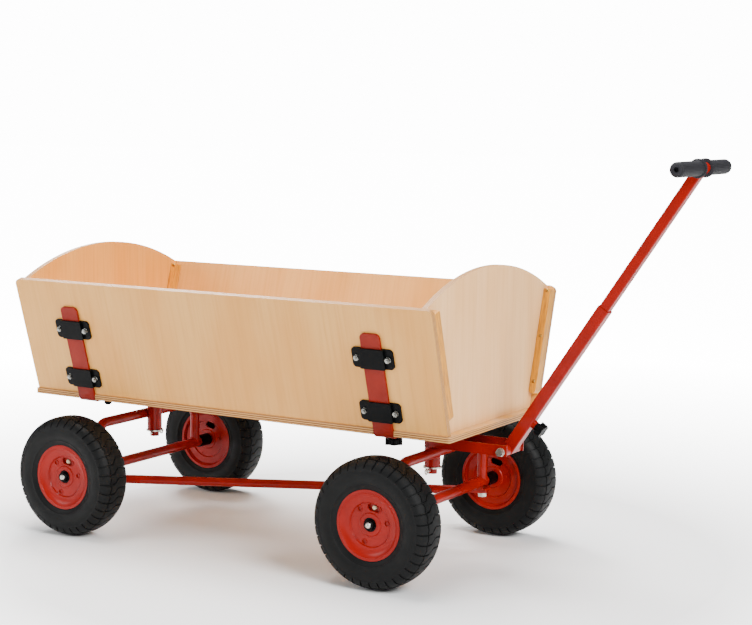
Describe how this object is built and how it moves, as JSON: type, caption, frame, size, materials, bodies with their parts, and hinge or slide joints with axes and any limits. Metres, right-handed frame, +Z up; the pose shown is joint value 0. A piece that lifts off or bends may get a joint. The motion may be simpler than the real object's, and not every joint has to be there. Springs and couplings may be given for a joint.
{
  "type": "hand wagon",
  "caption": "Wooden hand wagon with lift-off plywood sides, a hinged drawbar with a T handle, fat tyres on red rims and front and rear axles that steer together.",
  "frame": {"origin": "on the ground, under the middle of the whole wagon's box with its drawbar raised", "axes": "+X forward along the wagon, towards the drawbar; +Y to the wagon's left; +Z up"},
  "size_m": [1.4652, 0.613, 0.8385],
  "materials": {
    "plywood": "satin",
    "batten_wood": "satin",
    "red_paint": "gloss",
    "rim_paint": "satin",
    "tyre_rubber": "matte",
    "grip_rubber": "matte",
    "black_plastic": "satin",
    "nylon": "matte",
    "zinc": "bright zinc"
  },
  "bodies": {
    "chassis": {"floor_board": "plywood", "cross_member_front": "red_paint", "cross_member_rear": "red_paint", "kingpin_front": "red_paint", "kingpin_rear": "red_paint", "pivot_discs": "nylon", "kingpin_washers": "zinc", "linchpins": "zinc", "floor_bolts": "zinc", "rear_cap_nuts": "black_plastic"},
    "floor_knob_left": {"floor_knob_left": "black_plastic"},
    "floor_knob_right": {"floor_knob_right": "black_plastic"},
    "side_left": {"side_panel_left": "plywood", "battens_left": "batten_wood", "batten_screws_left": "zinc", "clips_left": "black_plastic", "clip_bolts_left": "zinc"},
    "side_right": {"side_panel_right": "plywood", "battens_right": "batten_wood", "batten_screws_right": "zinc", "clips_right": "black_plastic", "clip_bolts_right": "zinc"},
    "end_front": {"end_panel_front": "plywood"},
    "end_rear": {"end_panel_rear": "plywood"},
    "front_axle": {"front_bow": "red_paint", "front_axle_beam": "red_paint", "front_head_tube": "red_paint", "front_axle_shaft": "zinc", "front_axle_nuts": "zinc", "drawbar_bracket": "red_paint", "tie_rod_bolt_front": "zinc", "hinge_bolt": "zinc", "hinge_nut": "zinc"},
    "rear_axle": {"rear_bow": "red_paint", "rear_axle_beam": "red_paint", "rear_head_tube": "red_paint", "rear_axle_shaft": "zinc", "rear_axle_nuts": "zinc"},
    "tie_rod": {"tie_rod": "red_paint", "tie_rod_bolt_rear": "zinc"},
    "drawbar": {"pivot_sleeve": "red_paint", "drawbar_outer_tube": "red_paint"},
    "handle": {"drawbar_inner_tube": "red_paint", "handle_crossbar": "red_paint", "grip_left": "grip_rubber", "grip_right": "grip_rubber"},
    "clamp_knob": {"clamp_knob": "black_plastic"},
    "wheel_front_left": {"tyre_front_left": "tyre_rubber", "rim_front_left": "rim_paint", "hub_bush_front_left": "black_plastic"},
    "wheel_front_right": {"tyre_front_right": "tyre_rubber", "rim_front_right": "rim_paint", "hub_bush_front_right": "black_plastic"},
    "wheel_rear_left": {"tyre_rear_left": "tyre_rubber", "rim_rear_left": "rim_paint", "hub_bush_rear_left": "black_plastic"},
    "wheel_rear_right": {"tyre_rear_right": "tyre_rubber", "rim_rear_right": "rim_paint", "hub_bush_rear_right": "black_plastic"}
  },
  "joints": [
    {"name": "front_steer", "type": "hinge", "parent": "chassis", "child": "front_axle", "pos_m": [0.16144, 0, 0.228], "axis": [0, 0, 1], "range_deg": [-18, 18]},
    {"name": "rear_steer", "type": "hinge", "parent": "chassis", "child": "rear_axle", "pos_m": [-0.56056, 0, 0.228], "axis": [0, 0, 1], "range_deg": [-18, 18]},
    {"name": "tie_rod_pivot", "type": "hinge", "parent": "front_axle", "child": "tie_rod", "pos_m": [0.18344, 0.188, 0.1091], "axis": [0, 0, 1], "range_deg": [-18, 18]},
    {"name": "drawbar_tilt", "type": "hinge", "parent": "front_axle", "child": "drawbar", "pos_m": [0.33544, 0, 0.248], "axis": [0, 1, 0], "range_deg": [-24, 66]},
    {"name": "handle_slide", "type": "slide", "parent": "drawbar", "child": "handle", "axis": [0.5519, 0, 0.8339], "range_m": [0, 0.2]},
    {"name": "clamp_knob_turn", "type": "hinge", "parent": "drawbar", "child": "clamp_knob", "pos_m": [0.39406, 0, 0.30034], "axis": [0.8339, 0, -0.5519], "range_deg": [-180, 180]},
    {"name": "wheel_spin_front_left", "type": "hinge", "parent": "front_axle", "child": "wheel_front_left", "pos_m": [0.18344, 0.264, 0.13], "axis": [0, 1, 0], "continuous": true},
    {"name": "wheel_spin_front_right", "type": "hinge", "parent": "front_axle", "child": "wheel_front_right", "pos_m": [0.18344, -0.264, 0.13], "axis": [0, 1, 0], "continuous": true},
    {"name": "wheel_spin_rear_left", "type": "hinge", "parent": "rear_axle", "child": "wheel_rear_left", "pos_m": [-0.58256, 0.264, 0.13], "axis": [0, 1, 0], "continuous": true},
    {"name": "wheel_spin_rear_right", "type": "hinge", "parent": "rear_axle", "child": "wheel_rear_right", "pos_m": [-0.58256, -0.264, 0.13], "axis": [0, 1, 0], "continuous": true},
    {"name": "side_lift_left", "type": "slide", "parent": "chassis", "child": "side_left", "axis": [0, 0.2924, 0.9563], "range_m": [0, 0.2]},
    {"name": "side_lift_right", "type": "slide", "parent": "chassis", "child": "side_right", "axis": [0, -0.2924, 0.9563], "range_m": [0, 0.2]},
    {"name": "end_lift_front", "type": "slide", "parent": "chassis", "child": "end_front", "axis": [0, 0, 1], "range_m": [0, 0.26]},
    {"name": "end_lift_rear", "type": "slide", "parent": "chassis", "child": "end_rear", "axis": [0, 0, 1], "range_m": [0, 0.26]},
    {"name": "floor_knob_turn_left", "type": "hinge", "parent": "chassis", "child": "floor_knob_left", "pos_m": [0.16344, 0.167, 0.271], "axis": [0, 0, 1], "range_deg": [-180, 180]},
    {"name": "floor_knob_turn_right", "type": "hinge", "parent": "chassis", "child": "floor_knob_right", "pos_m": [0.16344, -0.167, 0.271], "axis": [0, 0, 1], "range_deg": [-180, 180]}
  ],
  "couplings": [
    {"joint": "rear_steer", "follows": "front_steer", "ratio": -1},
    {"joint": "tie_rod_pivot", "follows": "front_steer", "ratio": -1}
  ]
}
